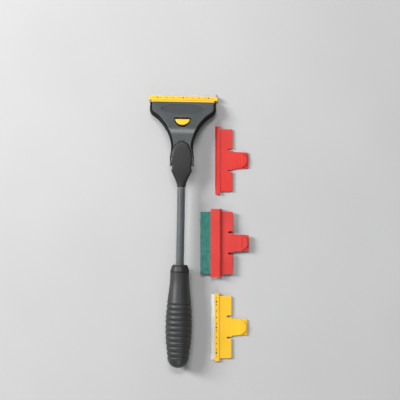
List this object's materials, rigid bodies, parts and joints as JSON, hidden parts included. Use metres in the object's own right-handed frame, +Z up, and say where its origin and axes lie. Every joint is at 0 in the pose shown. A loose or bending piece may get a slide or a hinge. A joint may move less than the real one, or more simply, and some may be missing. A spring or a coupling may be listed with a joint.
{
  "type": "algae scraper",
  "caption": "Long-handled aquarium algae scraper with a tilting head, a latched steel blade tool, and spare blade, plastic and sponge tools.",
  "frame": {"origin": "middle of the underside of the whole layout, on the surface that it lies on", "axes": "+Y along the shaft from the grip to the blade, +X to the side where the spare tools lie, +Z up"},
  "size_m": [0.1274, 0.3374, 0.0329],
  "materials": {
    "grip_rubber": "matte, ribbed",
    "dark_plastic": "fine satin",
    "grey_face": "fine satin",
    "painted_tube": "gloss dark grey coating",
    "blade_steel": "ground stainless steel",
    "yellow_plastic": "semi-gloss",
    "red_plastic": "semi-gloss",
    "sponge_holder_red": "semi-gloss",
    "scouring_green": "non-woven scouring fibre"
  },
  "bodies": {
    "handle": {"grip_sleeve": "grip_rubber", "grip_core": "dark_plastic", "shaft_tube": "painted_tube", "neck_knuckle": "dark_plastic"},
    "head": {"head_body": "dark_plastic", "head_cover": "grey_face", "window_frame": "dark_plastic", "pivot_pin": "blade_steel"},
    "blade_tool": {"blade_holder": "yellow_plastic", "clamp_strip": "yellow_plastic", "steel_blade": "blade_steel"},
    "blade_tool_latch": {"blade_latch": "yellow_plastic"},
    "plastic_tool": {"plastic_blade": "red_plastic"},
    "plastic_tool_latch": {"plastic_latch": "red_plastic"},
    "sponge_tool": {"sponge_holder": "sponge_holder_red", "scouring_pad": "scouring_green"},
    "sponge_tool_latch": {"sponge_latch": "sponge_holder_red"},
    "spare_blade_tool": {"spare_blade_holder": "yellow_plastic", "spare_clamp_strip": "yellow_plastic", "spare_steel_blade": "blade_steel"},
    "spare_blade_tool_latch": {"spare_blade_latch": "yellow_plastic"}
  },
  "joints": [
    {"name": "head_tilt", "type": "hinge", "parent": "handle", "child": "head", "pos_m": [-0.02148, 0.08674, 0.0202], "axis": [1, 0, 0], "range_deg": [-20, 35]},
    {"name": "tool_slide", "type": "slide", "parent": "head", "child": "blade_tool", "axis": [0, 0.9275, -0.3739], "range_m": [0, 0.036], "deforming": ["blade_latch"]},
    {"name": "blade_latch_press", "type": "hinge", "parent": "blade_tool", "child": "blade_tool_latch", "pos_m": [-0.02148, 0.15085, 0.01014], "axis": [1, 0, 0], "range_deg": [0, 7], "stiffness_Nm_per_rad": 1},
    {"name": "plastic_tool_lift", "type": "slide", "parent": "handle", "child": "plastic_tool", "axis": [0, 0, 1], "range_m": [0, 0.06]},
    {"name": "plastic_latch_press", "type": "hinge", "parent": "plastic_tool", "child": "plastic_tool_latch", "pos_m": [0.03552, 0.08731, 0.00198], "axis": [-0.019, 0.9998, 0], "range_deg": [0, 7], "stiffness_Nm_per_rad": 1},
    {"name": "sponge_tool_lift", "type": "slide", "parent": "handle", "child": "sponge_tool", "axis": [0, 0, 1], "range_m": [0, 0.06]},
    {"name": "sponge_latch_press", "type": "hinge", "parent": "sponge_tool", "child": "sponge_tool_latch", "pos_m": [0.03782, -0.01479, 0.00583], "axis": [-0.019, 0.9998, 0], "range_deg": [0, 7], "stiffness_Nm_per_rad": 1},
    {"name": "spare_blade_tool_lift", "type": "slide", "parent": "handle", "child": "spare_blade_tool", "axis": [0, 0, 1], "range_m": [0, 0.06]},
    {"name": "spare_latch_press", "type": "hinge", "parent": "spare_blade_tool", "child": "spare_blade_tool_latch", "pos_m": [0.03822, -0.11949, 0.00195], "axis": [-0.019, 0.9998, 0], "range_deg": [0, 7], "stiffness_Nm_per_rad": 1}
  ]
}
